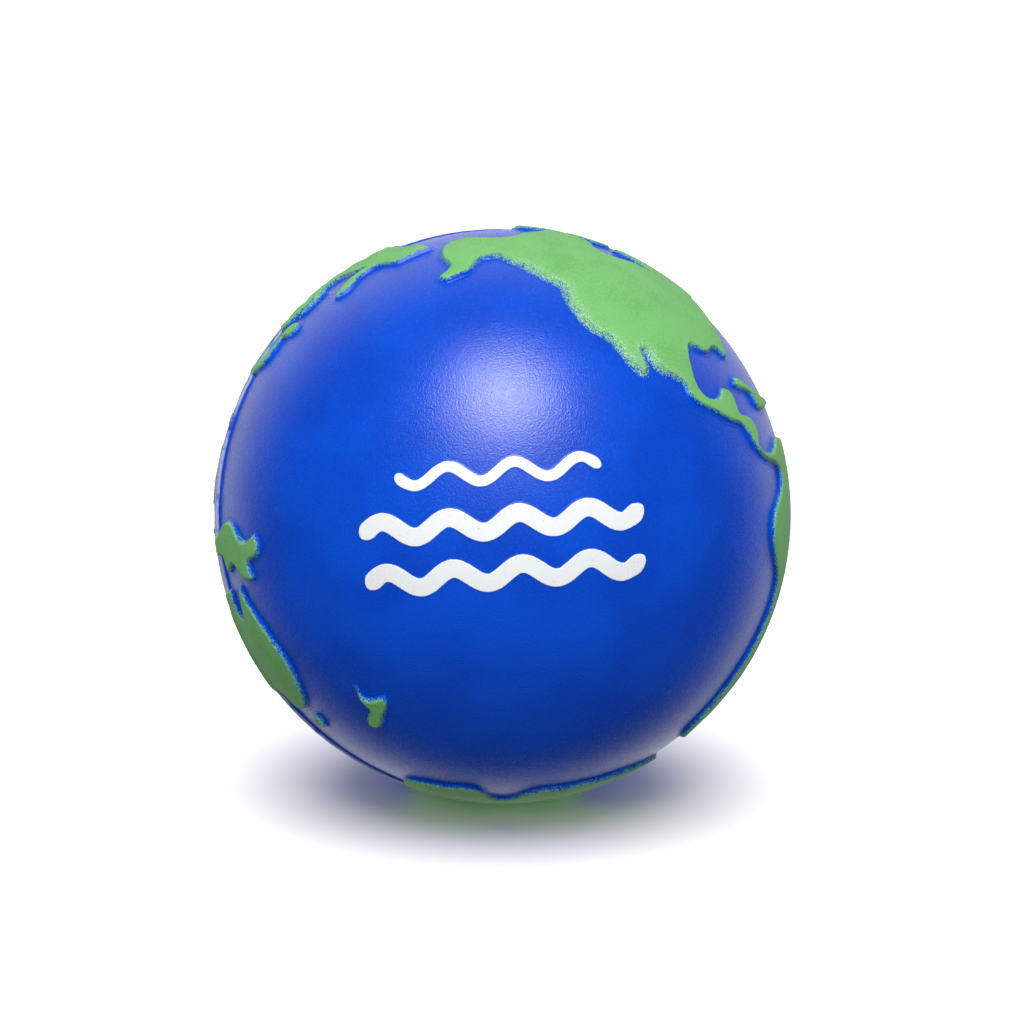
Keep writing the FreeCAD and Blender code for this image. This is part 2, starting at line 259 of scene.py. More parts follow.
# %% [markdown]
# ## One fine net for the whole ball
# A shore needs triangles of under a tenth of a millimetre, and an even net that
# fine would hold millions. So the net starts as an even sphere of triangles, and
# only those near a shore are split, again and again, ever closer to the line.

# %% Start from an even sphere and split near the shores
NET_LEVEL = 7
SPLIT_WITHIN = (0.85 * MM, 0.6 * MM, 0.36 * MM)
SAMPLE_STEP = 0.12 * MM

samples, sample_owner = [], []
for owner, name in enumerate(raised):
    for a, b in raised[name][1]:
        count = max(1, math.ceil((a - b).length * SEA_RADIUS / SAMPLE_STEP))
        samples += [(a.lerp(b, i / count)).normalized() for i in range(count)]
        sample_owner += [owner] * count
shore_tree = KDTree(len(samples))
for i, point in enumerate(samples):
    shore_tree.insert(point, i)
shore_tree.balance()


def to_shore(directions):
    """For each direction, the distance to a shore in metres and whose it is."""
    found = [shore_tree.find(d) for d in directions]
    distance = np.array([f[2] for f in found]) * SEA_RADIUS
    return distance, np.array([sample_owner[f[1]] for f in found])


net = bmesh.new()
bmesh.ops.create_icosphere(net, subdivisions=NET_LEVEL, radius=1)
directions = np.array([v.co.normalized() for v in net.verts])
base_faces = np.array([[v.index for v in f.verts] for f in net.faces])
net.free()
distance, owner = to_shore(directions)
faces, midpoints, parent = base_faces, {}, np.arange(len(base_faces))
for reach in SPLIT_WITHIN:
    corners = [faces, np.roll(faces, -1, axis=1)]
    ends = np.sort(np.stack(corners, axis=2), axis=2)
    near = distance[ends].min(axis=2) < reach
    edges = np.unique(ends[near].reshape(-1, 2), axis=0)
    new = np.arange(len(edges)) + len(directions)
    lookup = {(int(a), int(b)): int(i) for (a, b), i in zip(edges, new)}
    midpoints.update(lookup)
    middle = directions[edges].sum(axis=1)
    middle /= np.linalg.norm(middle, axis=1)[:, None]
    directions = np.vstack([directions, middle])
    new_distance, new_owner = to_shore(middle)
    distance = np.concatenate([distance, new_distance])
    owner = np.concatenate([owner, new_owner])
    split, split_parent = [], []
    for face, cut, home in zip(faces.tolist(), near.tolist(), parent.tolist()):
        mids = [lookup[tuple(sorted((face[k], face[k - 2])))] if cut[k] else None
                for k in range(3)]
        a, b, c = face
        ab, bc, ca = mids
        if sum(cut) == 3:
            parts = [(a, ab, ca), (ab, b, bc), (ca, bc, c), (ab, bc, ca)]
        elif sum(cut) == 0:
            parts = [(a, b, c)]
        else:
            turn = next(k for k in range(3) if cut[k] and not cut[k - 1])
            a, b, c = face[turn], face[turn - 2], face[turn - 1]
            ab, bc = mids[turn], mids[turn - 2]
            if bc is None:
                parts = [(a, ab, c), (ab, b, c)]
            else:
                parts = [(ab, b, bc), (a, ab, bc), (a, bc, c)]
        split += parts
        split_parent += [home] * len(parts)
    faces, parent = np.array(split), np.array(split_parent)
    print(f"split within {reach / MM:.2f} mm: {len(faces)} triangles")

# %% [markdown]
# ## Which part of the net belongs to which land
# Each triangle of the first, even net goes to the land whose shore is nearest,
# if it lies on that land or touches the strip beside it that the spray reaches.
# Neighbours then share the sea between them, and no two pieces overlap. The
# underside of a piece stays coarse, because it is never seen.

# %% Find what lies on land
PATCH_REACH = 0.75 * MM
RAY_START = SEA_RADIUS - 2 * MM
ground = bmesh.new()
for mesh, _ in raised.values():
    piece = bpy.data.meshes.new("ground")
    mesh.to_mesh(piece)
    ground.from_mesh(piece)
    bpy.data.meshes.remove(piece)
ground_rays = BVHTree.FromBMesh(ground)
ground.free()
base_count = len(np.unique(base_faces))
on_land = np.array([
    ground_rays.ray_cast(CENTRE + Vector(d) * RAY_START, Vector(d), 4 * MM)[0] is not None
    for d in directions[:base_count]])
middle = directions[base_faces].sum(axis=1)
_, face_owner = to_shore([Vector(m).normalized() for m in middle])
in_patch = (on_land[base_faces] | (distance[base_faces] < PATCH_REACH)).any(axis=1)
print(f"{int(in_patch.sum())} of {len(base_faces)} even triangles carry land or print")


# %% Cut the net into closed patches
SUNK = 0.05 * MM


def split_line(a, b):
    """The points from a up to b, b left out, with every split between them."""
    middle = midpoints.get((min(a, b), max(a, b)))
    return [a] if middle is None else split_line(a, middle) + split_line(middle, b)


def patch_mesh(name, number):
    """A closed net: fine on top, coarse below, joined along its border."""
    mine = in_patch & (face_owner == number)
    top = faces[mine[parent]]
    coarse = base_faces[mine].tolist()
    borders = {}
    for face in coarse:
        for k in range(3):
            key = frozenset((face[k - 1], face[k]))
            borders[key] = borders.get(key, 0) + 1
    under = []
    for face in coarse:
        ring = []
        for a, b in zip(face, face[1:] + face[:1]):
            single = borders[frozenset((a, b))] == 1
            ring += split_line(a, b) if single else [a]
        under.append(ring[::-1])
    border = {p for key, uses in borders.items() if uses == 1
              for p in split_line(*sorted(key))} | {
              p for key, uses in borders.items() if uses == 1 for p in key}
    used = np.unique(top)
    top_index = {int(p): i for i, p in enumerate(used)}
    low_points = sorted({p for ring in under for p in ring} - border)
    low_index = {p: len(used) + i for i, p in enumerate(low_points)}
    places = np.vstack([directions[used], directions[low_points]])
    places = places * (SEA_RADIUS - SUNK) + np.array(CENTRE)
    polygons = [[top_index[p] for p in t] for t in top.tolist()]
    polygons += [[top_index[p] if p in border else low_index[p] for p in ring]
                 for ring in under]
    mesh = bpy.data.meshes.new(name)
    mesh.from_pydata(places.tolist(), [], polygons)
    flags = np.array([int(p) not in border for p in used] + [False] * len(low_points))
    free = mesh.attributes.new("free", "BOOLEAN", "POINT")
    free.data.foreach_set("value", flags)
    return mesh


patches = {name: patch_mesh(name, i) for i, name in enumerate(raised)}
for name, mesh in patches.items():
    print(f"{name}: {len(mesh.polygons)} faces")

# %% [markdown]
# ## Where the mould halves met
# The parting ridge runs round the whole ball. Its plane passes through the
# centre, so the direction in which the CAD ridge's points spread least is the
# plane's normal. The two other directions lie in the plane. The halves never
# close quite true: the back one's sea stands out a little on the left, though
# never above the land, so the ball keeps the model's size.

# %% Find the ridge's plane
ridge_points = node_points("parting_ridge") - np.array(CENTRE)
_, _, axes = np.linalg.svd(ridge_points.T @ ridge_points)
ridge_normal = Vector(axes[2])
if ridge_normal.y < 0:
    ridge_normal.negate()
ridge_along = Vector(axes[0]).normalized()
ridge_across = ridge_normal.cross(ridge_along).normalized()
RIDGE_WIDTH = 1.1 * MM
MOULD_SLIP = ridge_normal.cross(Vector((0, 0, -1))).normalized() * 0.45 * MM
if MOULD_SLIP.x > 0:
    MOULD_SLIP.negate()
print("ridge normal", [round(c, 3) for c in ridge_normal])
print("back half slipped by", [round(c / MM, 2) for c in MOULD_SLIP], "mm")

# %% [markdown]
# ## Raising the land
# On the real ball the land is moulded with soft shoulders and a small fillet at
# its foot. The height above the sea is a rule: it depends only on how far a
# point is from the shore, so Geometry Nodes can shape every land with one tree.
# Sculpting each by hand would take far longer and be less even. The tree also
# stores two distances for the paint: to the shore, and to the same shore spread
# a little from the front, because the sprayer's mask is a touch too large. At
# one loose spot the mask stands off the ball, and the paint strays past the shore.

# %% Build the tree that raises a patch
def new_geometry_tree(name, inputs):
    group = bpy.data.node_groups.new(name, "GeometryNodeTree")
    group.interface.new_socket("Geometry", in_out="INPUT",
                               socket_type="NodeSocketGeometry")
    group.interface.new_socket("Geometry", in_out="OUTPUT",
                               socket_type="NodeSocketGeometry")
    for label, kind in inputs.items():
        group.interface.new_socket(label, in_out="INPUT",
                                   socket_type=f"NodeSocket{kind}")
    tree = Tree(group)
    given = tree.node("NodeGroupInput").outputs
    return tree, given


def end_tree(tree, geometry, material):
    """Instances made real, the material set, and the result handed on."""
    real = tree.node("GeometryNodeRealizeInstances", {"Geometry": geometry})
    painted = tree.node("GeometryNodeSetMaterial", {
        "Geometry": real.outputs["Geometry"], "Material": material})
    tree.node("NodeGroupOutput", {"Geometry": painted.outputs["Geometry"]})


def stored(tree, geometry, name, value):
    node = tree.node("GeometryNodeStoreNamedAttribute",
                     {"Geometry": geometry, "Name": name},
                     data_type="FLOAT", domain="POINT")
    tree.feed(next(s for s in node.inputs if s.name == "Value" and s.enabled), value)
    return node.outputs["Geometry"]


def on_sphere(tree, direction, centre, radius):
    scaled = tree.vector_math("SCALE", direction)
    tree.feed(scaled.inputs["Scale"], radius)
    return tree.vector_math("ADD", centre, scaled.outputs[0]).outputs[0]


def shore_distance(tree, given, direction):
    """Distance to the shore in metres: above 0 on land, below 0 at sea."""
    centre, radius = given["Centre"], tree.number(given["Sea radius"])
    lines = tree.node("GeometryNodeObjectInfo", {"Object": given["Shore line"]})
    solid = tree.node("GeometryNodeObjectInfo", {"Object": given["Land solid"]})
    near = tree.node("GeometryNodeProximity", {
        "Geometry": lines.outputs["Geometry"],
        "Source Position": on_sphere(tree, direction, centre, radius)},
        target_element="EDGES")
    ray = tree.node("GeometryNodeRaycast", {
        "Target Geometry": solid.outputs["Geometry"],
        "Source Position": on_sphere(tree, direction, centre, radius - 2 * MM),
        "Ray Direction": direction, "Ray Length": 4 * MM})
    side = tree.number(ray.outputs["Is Hit"]) * 2 - 1
    return tree.number(near.outputs["Distance"]) * side


def dot(tree, first, second):
    return tree.number(tree.vector_math("DOT_PRODUCT", first, second).outputs["Value"])


def ridge_bell(tree, given, direction):
    """1 on the ridge's crest, 0 beside it, where a direction leaves the ball."""
    off = dot(tree, direction, given["Ridge normal"]) * given["Sea radius"]
    inside = (1 - (off / (tree.number(given["Ridge width"]) / 2)) ** 2).most(0.0)
    return inside * inside


def mould_step(tree, given, direction):
    """How far the slipped back half stands out in a direction, in metres."""
    off = dot(tree, direction, given["Ridge normal"]) * given["Sea radius"]
    out = dot(tree, direction, given["Mould slip"]).most(0.0)
    return off.step(-0.25 * MM, 0.3 * MM) * out


def mask_slip(tree, given, direction):
    """A direction moved toward the front by the mask's slip."""
    front = dot(tree, direction, given["Front"])
    along = tree.vector_math("SCALE", direction)
    tree.feed(along.inputs["Scale"], front)
    toward = tree.vector_math("SUBTRACT", given["Front"], along.outputs[0]).outputs[0]
    tilt = tree.number(tree.vector_math("LENGTH", toward).outputs["Value"])
    moved = tree.vector_math("SCALE", toward)
    tree.feed(moved.inputs["Scale"],
              tree.number(given["Slip"]) * tilt.step(0.0, 0.35) / tilt.most(0.01))
    moved = on_sphere(tree, direction, moved.outputs[0], given["Sea radius"])
    return tree.vector_math("NORMALIZE", moved).outputs[0]


RAISE_INPUTS = {
    "Shore line": "Object", "Land solid": "Object", "Centre": "Vector",
    "Sea radius": "Float", "Height": "Float", "Foot": "Float", "Shoulder": "Float",
    "Film": "Float", "Film reach": "Float", "Sunk": "Float",
    "Front": "Vector", "Slip": "Float", "Loose spot": "Vector", "Mould slip": "Vector",
    "Ridge normal": "Vector", "Ridge height": "Float", "Ridge width": "Float",
    "Material": "Material"}
raise_tree, given = new_geometry_tree("raise_patch", RAISE_INPUTS)
position = raise_tree.node("GeometryNodeInputPosition").outputs[0]
outward = raise_tree.vector_math("SUBTRACT", position, given["Centre"]).outputs[0]
outward = raise_tree.vector_math("NORMALIZE", outward).outputs[0]
shore = shore_distance(raise_tree, given, outward)
spray = shore_distance(raise_tree, given, mask_slip(raise_tree, given, outward))
loose = dot(raise_tree, outward, given["Loose spot"])
loose = loose.step(math.cos(math.radians(27)), math.cos(math.radians(13)))
spray = spray + (shore + 0.3 * MM - spray) * loose
rise = shore.step(0 - raise_tree.number(given["Foot"]),
                  raise_tree.number(given["Shoulder"])) * given["Height"]
reach = 0 - raise_tree.number(given["Film reach"])
film = shore.step(reach * 1.35, reach)
film = film * (raise_tree.number(given["Film"]) + given["Sunk"]) - given["Sunk"]
crest = ridge_bell(raise_tree, given, outward)
ridge = crest * given["Ridge height"] * shore.step(reach * 1.2, reach * 0.8)
rise = rise.most(mould_step(raise_tree, given, outward))
radius = raise_tree.number(given["Sea radius"]) + rise + film + ridge
place = on_sphere(raise_tree, outward, given["Centre"], radius)
split_place = raise_tree.node("ShaderNodeSeparateXYZ", {"Vector": place}).outputs
level = raise_tree.number(split_place["Z"]).most(FLOOR_Z)
place = raise_tree.node("ShaderNodeCombineXYZ", {
    "X": split_place["X"], "Y": split_place["Y"], "Z": level}).outputs[0]
free = raise_tree.node("GeometryNodeInputNamedAttribute", {"Name": "free"},
                       data_type="BOOLEAN")
geometry = given["Geometry"]
for label, value in (("shore", shore), ("spray", spray), ("loose", loose),
                     ("crest", crest)):
    geometry = stored(raise_tree, geometry, label, value)
moved = raise_tree.node("GeometryNodeSetPosition", {
    "Geometry": geometry, "Position": place,
    "Selection": next(o for o in free.outputs if o.enabled)})
end_tree(raise_tree, moved.outputs["Geometry"], given["Material"])
print("raise_patch:", len(raise_tree.tree.nodes), "nodes")

# %% [markdown]
# ## Turning a tree's result into a plain mesh
# A modifier is handy while its sizes are chosen, but the finished piece should
# be plain. So each helper sets the tree's inputs by their sockets' identifiers,
# evaluates once, keeps the mesh and removes the modifier.

# %% Run a tree and keep its mesh
def object_of(mesh):
    made = bpy.data.objects.new(mesh.name, mesh)
    bpy.context.scene.collection.objects.link(made)
    return made


def shaped(piece, tree, **values):
    """Runs a geometry tree on a piece, keeps the result, removes the modifier."""
    modifier = piece.modifiers.new("shape", "NODES")
    modifier.node_group = tree.tree
    sockets = {i.name: i.identifier for i in tree.tree.interface.items_tree
               if i.in_out == "INPUT"}
    for name, value in values.items():
        modifier[sockets[name.replace("_", " ")]] = value
    bpy.context.view_layer.update()
    graph = bpy.context.evaluated_depsgraph_get()
    mesh = bpy.data.meshes.new_from_object(piece.evaluated_get(graph))
    piece.modifiers.remove(modifier)
    mesh.name = piece.name
    piece.data = mesh
    mesh.shade_smooth()
    return piece


def clear_away(*objects):
    for thing in objects:
        data = thing.data
        bpy.data.objects.remove(thing)
        bpy.data.meshes.remove(data)


print("tree runner ready")

# %% [markdown]
# ## Leather grain
# The foam's skin copies the mould, which has a fine leather grain: rounded cells
# a fifth of a millimetre across. Cells that small could be real geometry only
# with millions of triangles, so they are a bump: smooth Voronoi cells, with a
# finer noise over them so that no two look alike.

# %% Define the grain and a finished surface
GRAIN_CELL = 0.20 * MM
GRAIN_DEPTH = 0.03 * MM


def noise(tree, place, size, detail=2.0, roughness=0.5):
    """Noise from 0 to 1 whose blobs are about size metres across."""
    node = tree.node("ShaderNodeTexNoise", {
        "Vector": place, "Scale": 1 / size, "Detail": detail, "Roughness": roughness})
    return tree.number(node.outputs[0])


def grain(tree, place):
    cells = tree.node("ShaderNodeTexVoronoi", {
        "Vector": place, "Scale": 1 / GRAIN_CELL, "Smoothness": 0.6},
        feature="SMOOTH_F1")
    cells = tree.number(cells.outputs["Distance"])
    return 1 - cells * 0.9 + noise(tree, place, 0.13 * MM) * 0.55


def bumped(tree, height, depth, strength=1.0):
    node = tree.node("ShaderNodeBump", {
        "Height": height, "Distance": depth, "Strength": strength})
    return node.outputs["Normal"]


def new_material(name):
    material = bpy.data.materials.new(name)
    material.use_nodes = True
    material.node_tree.nodes.clear()
    return material, Tree(material.node_tree)


def finish_surface(tree, sockets):
    shader = tree.node("ShaderNodeBsdfPrincipled", sockets)
    tree.node("ShaderNodeOutputMaterial", {"Surface": shader.outputs[0]})


def attribute(tree, name):
    node = tree.node("ShaderNodeAttribute", attribute_name=name)
    return tree.number(node.outputs["Fac"])


# %% [markdown]
# ## Blue skin
# The sea is the bare skin of foam that is blue all through, so it has no paint
# edge, only slight clouding and a few paler specks where the skin is thin.

# %% Mix the blue skin
SEA_BLUE = (0.0005, 0.080, 0.70, 1)
SEA_DEEP = (0.0005, 0.066, 0.62, 1)
SEA_SPECK = (0.02, 0.17, 0.80, 1)
# Pale crest colour: partly wear, partly a painted highlight on the parting ridge.
CREST_WEAR_AND_PAINTED_HIGHLIGHT = (0.62, 0.60, 0.68, 1)
SKIN_ROUGHNESS = 0.26


def blue_skin(tree, place):
    """Colour and roughness of the bare blue skin."""
    cloud = noise(tree, place, 9 * MM, detail=3).step(0.35, 0.65)
    color = tree.mix(cloud, SEA_DEEP, SEA_BLUE)
    speck = noise(tree, place, 0.22 * MM, detail=1).step(0.66, 0.78) * 0.5
    color = tree.mix(speck * 0.4, color, SEA_SPECK)
    rough = SKIN_ROUGHNESS + (noise(tree, place, 0.5 * MM) - 0.5) * 0.12
    return color, rough


def crest_wear_and_painted_highlight(tree, place, color):
    """The crest is painted pale: partly wear, as it is the first thing a hand touches, and
    partly a painted highlight along the bead.
    """
    crest = attribute(tree, "crest").step(0.7, 1.0)
    crest = crest * noise(tree, place, 2 * MM, detail=2).step(0.25, 0.5)
    return tree.mix(crest * 0.75, color, CREST_WEAR_AND_PAINTED_HIGHLIGHT)


def sea_surface(name, with_crest_wear_and_highlight):
    material, tree = new_material(name)
    place = tree.node("ShaderNodeTexCoord").outputs["Object"]
    color, rough = blue_skin(tree, place)
    # The crest is painted pale here: partly wear, partly a painted highlight.
    if with_crest_wear_and_highlight:
        color = crest_wear_and_painted_highlight(tree, place, color)
    finish_surface(tree, {"Base Color": color, "Roughness": rough,
                          "Specular IOR Level": 0.42,
                          "Normal": bumped(tree, grain(tree, place), GRAIN_DEPTH)})
    return material


sea_material = sea_surface("blue_foam_skin", with_crest_wear_and_highlight=False)
# The ridge's skin gets the pale crest: partly wear, partly a painted highlight.
ridge_material = sea_surface("rubbed_blue_ridge", with_crest_wear_and_highlight=True)

# %% [markdown]
# ## Sprayed green paint
# The land is sprayed through a mask. The paint stops a little short of the shore
# on one side and strays over it on the other, and its edge is made of droplets.
# Where the mask stood off, the edge is soft. Pale dots at and beyond the edge are painted
# glints: highlights that the grain on the shoulders would catch, painted into the colour,
# faint along all shores and strongest at that loose spot. The stored distance to the spread
# shore, plus cells that each cross it at a depth of their own, gives just that.

# %% Mix the green paint over the blue skin
LAND_GREEN = (0.205, 0.575, 0.18, 1)
LAND_DARK = (0.165, 0.50, 0.14, 1)
# Pale colour for the painted glints along the paint's edge.
LAND_PAINTED_GLINT = (0.56, 0.78, 0.60, 1)
CRISP_EDGE, SOFT_EDGE = 0.26 * MM, 1.0 * MM
DROPLET = 0.11 * MM


def painted_material(name):
    material, tree = new_material(name)
    place = tree.node("ShaderNodeTexCoord").outputs["Object"]
    skin, skin_rough = blue_skin(tree, place)
    spray = attribute(tree, "spray")
    loose = attribute(tree, "loose")
    softness = noise(tree, place, 14 * MM, detail=1).step(0.50, 0.66) * 0.4
    softness = CRISP_EDGE + softness.most(loose) * (SOFT_EDGE - CRISP_EDGE)
    drops = tree.node("ShaderNodeTexVoronoi", {"Vector": place, "Scale": 1 / DROPLET})
    drops = tree.number(drops.outputs["Color"]) + noise(
        tree, place, 0.12 * MM, detail=3, roughness=0.7)
    edge = spray + (drops - 1) * softness * 1.5
    paint = edge.step(0.0, 0.08 * MM)
    cloud = noise(tree, place, 5 * MM, detail=4) * 0.5 + noise(
        tree, place, 0.3 * MM, detail=2) * 0.5
    cloud = cloud.step(0.38, 0.56)
    green = tree.mix(cloud, LAND_DARK, LAND_GREEN)
    # Pale dots near the paint's edge are painted glints: highlights painted into the
    # colour, strongest at the loose spot.
    painted_glint_band = 1 - (spray / (softness * 2.2)).step(0.0, 1.0)
    painted_glints = painted_glint_band * noise(tree, place, 0.16 * MM, detail=1).step(0.5, 0.6)
    painted_glints = painted_glints * (0.12 + loose * 0.88)
    green = tree.mix(painted_glints * 0.85, green, LAND_PAINTED_GLINT)
    # The pale crest is painted here too: partly wear, partly a painted highlight.
    color = crest_wear_and_painted_highlight(tree, place, tree.mix(paint, skin, green))
    rough = skin_rough + paint * 0.3
    height = grain(tree, place) + paint * 0.35
    finish_surface(tree, {"Base Color": color, "Roughness": rough,
                          "Specular IOR Level": 0.18,
                          "Normal": bumped(tree, height, GRAIN_DEPTH)})
    return material


land_material = painted_material("green_spray_paint")

# %% [markdown]
# ## White print
# Pad printing leaves a thin, even film of white ink with a sharp edge. Where the
# grain is deepest the ink misses a pinhole here and there.

# %% Mix the white ink
INK_WHITE = (0.93, 0.97, 0.99, 1)
ink_material, tree = new_material("white_pad_ink")
place = tree.node("ShaderNodeTexCoord").outputs["Object"]
skin, skin_rough = blue_skin(tree, place)
wobble = (noise(tree, place, 0.3 * MM) - 0.5) * 0.1 * MM
ink = (attribute(tree, "shore") + wobble).step(-0.01 * MM, 0.03 * MM)
pinholes = noise(tree, place, 0.2 * MM, detail=1).step(0.74, 0.8)
ink = ink * (1 - pinholes)
finish_surface(tree, {
    "Base Color": tree.mix(ink, skin, INK_WHITE),
    "Roughness": skin_rough + ink * 0.04,
    "Normal": bumped(tree, grain(tree, place) + ink * 0.3, GRAIN_DEPTH * 0.6)})
print("materials:", [m.name for m in bpy.data.materials if m.use_nodes])

# %% [markdown]
# ## Land and print
# Every raised area now takes its patch of net and runs the same tree. The
# target objects are copies of the CAD solids, used once and thrown away.

# %% Raise every patch
LOOSE_SPOT = Vector(rising(55, turn=31))
FILM = 0.02 * MM
LAND_FORM = {"Height": LAND_HEIGHT - FILM, "Foot": 0.22 * MM, "Shoulder": 0.42 * MM,
             "Film": FILM, "Film_reach": 0.55 * MM, "Slip": 0.18 * MM,
             "Ridge_height": RIDGE_HEIGHT, "Material": land_material}
INK_FORM = {"Height": INK_HEIGHT - 0.004 * MM, "Foot": 0.03 * MM, "Shoulder": 0.05 * MM,
            "Film": 0.004 * MM, "Film_reach": 0.2 * MM, "Slip": 0.0,
            "Ridge_height": 0.0, "Material": ink_material}


def raise_patch(name):
    solid_mesh, lines = raised[name]
    solid = object_of(bpy.data.meshes.new("solid_copy"))
    solid_mesh.to_mesh(solid.data)
    ends = [CENTRE + p * SEA_RADIUS for pair in lines for p in pair]
    line = object_of(bpy.data.meshes.new("line_copy"))
    line.data.from_pydata(ends, [(i, i + 1) for i in range(0, len(ends), 2)], [])
    piece = object_of(patches[name])
    piece.name = "raised_" + name if name in PRINTS else name.replace("land_", "shaped_", 1)
    form = INK_FORM if name in PRINTS else LAND_FORM
    shaped(piece, raise_tree, Shore_line=line, Land_solid=solid, Centre=CENTRE,
           Sea_radius=SEA_RADIUS, Sunk=SUNK, Front=camera_back, Loose_spot=LOOSE_SPOT,
           Mould_slip=MOULD_SLIP, Ridge_normal=ridge_normal, Ridge_width=RIDGE_WIDTH,
           **form)
    clear_away(solid, line)
    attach(piece, "root")
    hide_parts(name)
    "white_ink" if name in PRINTS else "land_paint"
    return piece


raised_pieces = [raise_patch(name) for name in raised]
for piece in raised_pieces:
    top = max((v.co - CENTRE).length for v in piece.data.vertices)
    print(f"{piece.name}: {len(piece.data.polygons)} faces, top {top / MM:.2f} mm")

# %% [markdown]
# ## The skin
# The skin is a hollow ball: an outer sphere that shows and an inner one that
# meets the foam. Two icospheres have no poles to pinch the grain, and turning
# the inner one inside out makes them the two sides of one wall.

# %% Build the hollow skin
skin_tree, given = new_geometry_tree("hollow_ball", {
    "Centre": "Vector", "Sea radius": "Float", "Inner radius": "Float",
    "Ridge normal": "Vector", "Mould slip": "Vector", "Material": "Material"})
walls = []
for radius, level in ((given["Sea radius"], 7), (given["Inner radius"], 5)):
    ball = skin_tree.node("GeometryNodeMeshIcoSphere",
                          {"Radius": radius, "Subdivisions": level})
    walls.append(ball.outputs["Mesh"])
spot = skin_tree.node("GeometryNodeInputPosition").outputs[0]
outward = skin_tree.vector_math("NORMALIZE", spot).outputs[0]
stretch = skin_tree.vector_math("SCALE", outward)
skin_tree.feed(stretch.inputs["Scale"], mould_step(skin_tree, given, outward))
stepped = skin_tree.node("GeometryNodeSetPosition", {
    "Geometry": walls[0], "Offset": stretch.outputs[0]})
turned = skin_tree.node("GeometryNodeFlipFaces", {"Mesh": walls[1]})
joined = skin_tree.node("GeometryNodeJoinGeometry")
for wall in (stepped.outputs["Geometry"], turned.outputs["Mesh"]):
    skin_tree.tree.links.new(wall, joined.inputs[0])
centred = skin_tree.node("GeometryNodeTransform", {
    "Geometry": joined.outputs[0], "Translation": given["Centre"]})
end_tree(skin_tree, centred.outputs["Geometry"], given["Material"])

sea = object_of(bpy.data.meshes.new("sea_skin_ball"))
shaped(sea, skin_tree, Centre=CENTRE, Sea_radius=SEA_RADIUS,
       Inner_radius=CORE_RADIUS, Ridge_normal=ridge_normal, Mould_slip=MOULD_SLIP,
       Material=sea_material)
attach(sea, "root")
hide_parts("ocean_skin")
print(f"{sea.name}: {len(sea.data.polygons)} faces")

# %% [markdown]
# ## The foam inside
# Under the skin the foam is open and full of small bubbles. Nobody sees it until
# the ball is cut, but a cut model should show it, so the core's surface is
# pitted by bubbles of about a millimetre.

# %% Build the pitted core
BUBBLE = 1.3 * MM
core_tree, given = new_geometry_tree("bubbled_core", {
    "Centre": "Vector", "Radius": "Float", "Bubble size": "Float",
    "Bubble depth": "Float", "Material": "Material"})
ball = core_tree.node("GeometryNodeMeshIcoSphere",
                      {"Radius": given["Radius"], "Subdivisions": 7})
spot = core_tree.node("GeometryNodeInputPosition").outputs[0]
bubbles = core_tree.node("ShaderNodeTexVoronoi", {
    "Vector": spot, "Scale": 1 / core_tree.number(given["Bubble size"])},
    feature="F1")
pit = 1 - core_tree.number(bubbles.outputs["Distance"]).step(0.15, 0.6)
pit = 0 - pit * given["Bubble depth"]
outward = core_tree.vector_math("NORMALIZE", spot).outputs[0]
sink = core_tree.vector_math("SCALE", outward)
core_tree.feed(sink.inputs["Scale"], pit)
pitted = core_tree.node("GeometryNodeSetPosition", {
    "Geometry": ball.outputs["Mesh"], "Offset": sink.outputs[0]})
centred = core_tree.node("GeometryNodeTransform", {
    "Geometry": pitted.outputs["Geometry"], "Translation": given["Centre"]})
end_tree(core_tree, centred.outputs["Geometry"], given["Material"])

foam_material, tree = new_material("open_cell_foam")
place = tree.node("ShaderNodeTexCoord").outputs["Object"]
cells = tree.node("ShaderNodeTexVoronoi", {"Vector": place, "Scale": 1 / (0.4 * MM)})
cells = tree.number(cells.outputs["Distance"])
# The cell hollows are painted dark blue: painted shade in the pores, where the bump sinks
# them.
finish_surface(tree, {
    "Base Color": tree.mix(cells.step(0.1, 0.7), (0.01, 0.06, 0.35, 1),
                           (0.06, 0.20, 0.72, 1)),
    "Roughness": 0.85 + (cells - 0.5) * 0.1,
    "Normal": bumped(tree, cells, 0.08 * MM)})

core = object_of(bpy.data.meshes.new("bubbled_foam_core"))
shaped(core, core_tree, Centre=CENTRE, Radius=CORE_RADIUS - 0.02 * MM,
       Bubble_size=BUBBLE, Bubble_depth=0.35 * MM, Material=foam_material)
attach(core, "root")
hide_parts("foam_core")
print(f"{core.name}: {len(core.data.polygons)} faces")

# %% [markdown]
# ## The parting ridge
# Foam creeps into the gap between the two mould halves and leaves a low bead.
# It could be swept along a circle, but a grid wrapped round the ball by a
# formula keeps the bead upright everywhere and lets its height waver a little.

# %% Build the ridge
ridge_tree, given = new_geometry_tree("bead_round_ball", {
    "Centre": "Vector", "Sea radius": "Float", "Ridge normal": "Vector",
    "Along": "Vector", "Across": "Vector", "Width": "Float", "Height": "Float",
    "Sunk": "Float", "Waver": "Float", "Mould slip": "Vector",
    "Material": "Material"})
STEPS_ROUND_BALL, STEPS_ROUND_BEAD = 1440, 24
grid = ridge_tree.node("GeometryNodeMeshGrid", {
    "Size X": 1.0, "Size Y": 1.0,
    "Vertices X": STEPS_ROUND_BALL + 1, "Vertices Y": STEPS_ROUND_BEAD + 1})
spot = ridge_tree.node("GeometryNodeInputPosition").outputs[0]
spot = ridge_tree.node("ShaderNodeSeparateXYZ", {"Vector": spot}).outputs
round_ball = ridge_tree.number(spot["X"]) * math.tau
round_bead = ridge_tree.number(spot["Y"]) * math.tau
side = round_bead.cosine()
bell = (1 - side * side).most(0.0)
crest = round_bead.sine().above(0.0) * bell * bell
